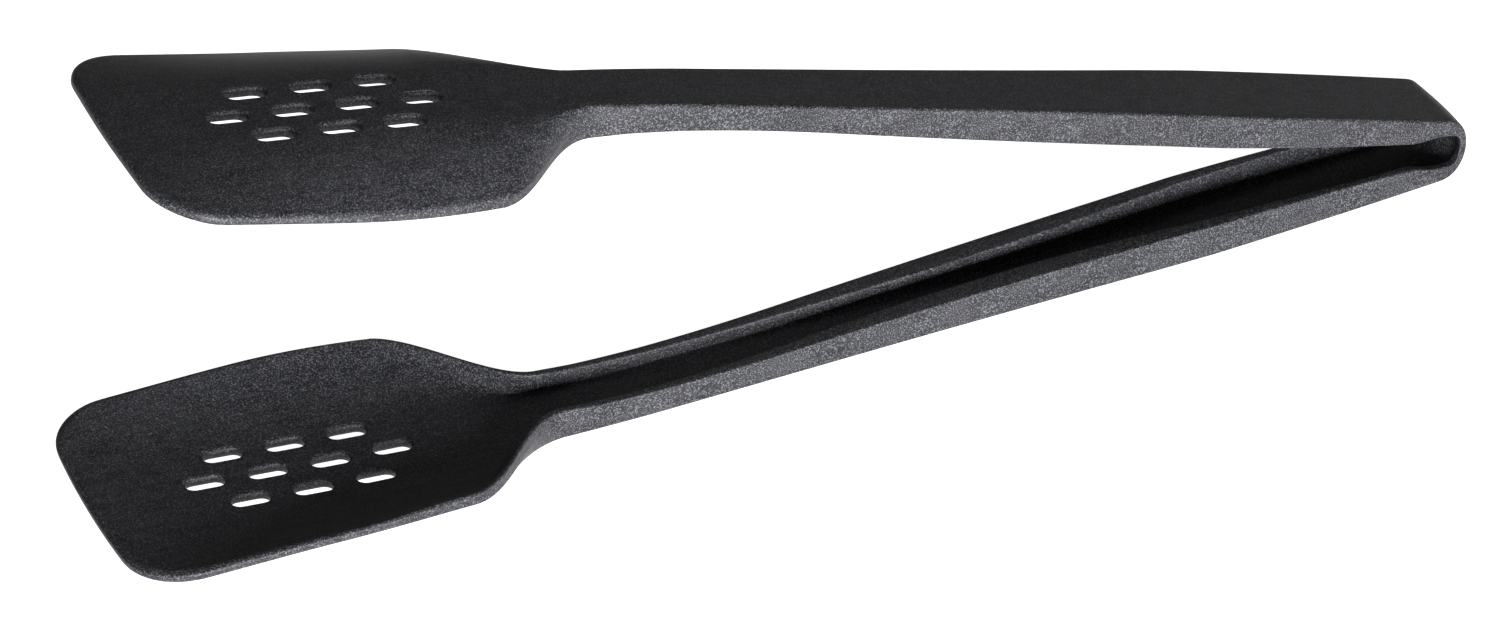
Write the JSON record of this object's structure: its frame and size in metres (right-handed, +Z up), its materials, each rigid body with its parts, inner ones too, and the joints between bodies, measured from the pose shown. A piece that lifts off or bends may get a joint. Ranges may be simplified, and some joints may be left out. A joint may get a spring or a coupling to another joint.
{
  "type": "spring tongs",
  "caption": "One-piece black kitchen tongs: channel handles joined by a U-shaped spring bow, with broad dished blades pierced by staggered drain slots.",
  "frame": {"origin": "middle of the flat face under the lower handle, on which the tongs rest", "axes": "+X along the handles towards the spring bow, +Y across, +Z up from the resting face towards the upper arm"},
  "size_m": [0.29, 0.061, 0.0911],
  "materials": {
    "nylon": "matte, finely speckled glass-filled nylon"
  },
  "bodies": {
    "lower_arm": {"lower_handle": "nylon", "lower_neck": "nylon", "lower_blade": "nylon", "spring_bow": "nylon"},
    "upper_arm": {"upper_handle": "nylon", "upper_neck": "nylon", "upper_blade": "nylon"}
  },
  "joints": [
    {"name": "squeeze", "type": "hinge", "parent": "lower_arm", "child": "upper_arm", "pos_m": [0.117, 0, 0.00811], "axis": [0, -1, 0], "range_deg": [-4, 15.3], "stiffness_Nm_per_rad": 5, "springref_deg": -0.4, "deforming": ["spring_bow"]}
  ]
}
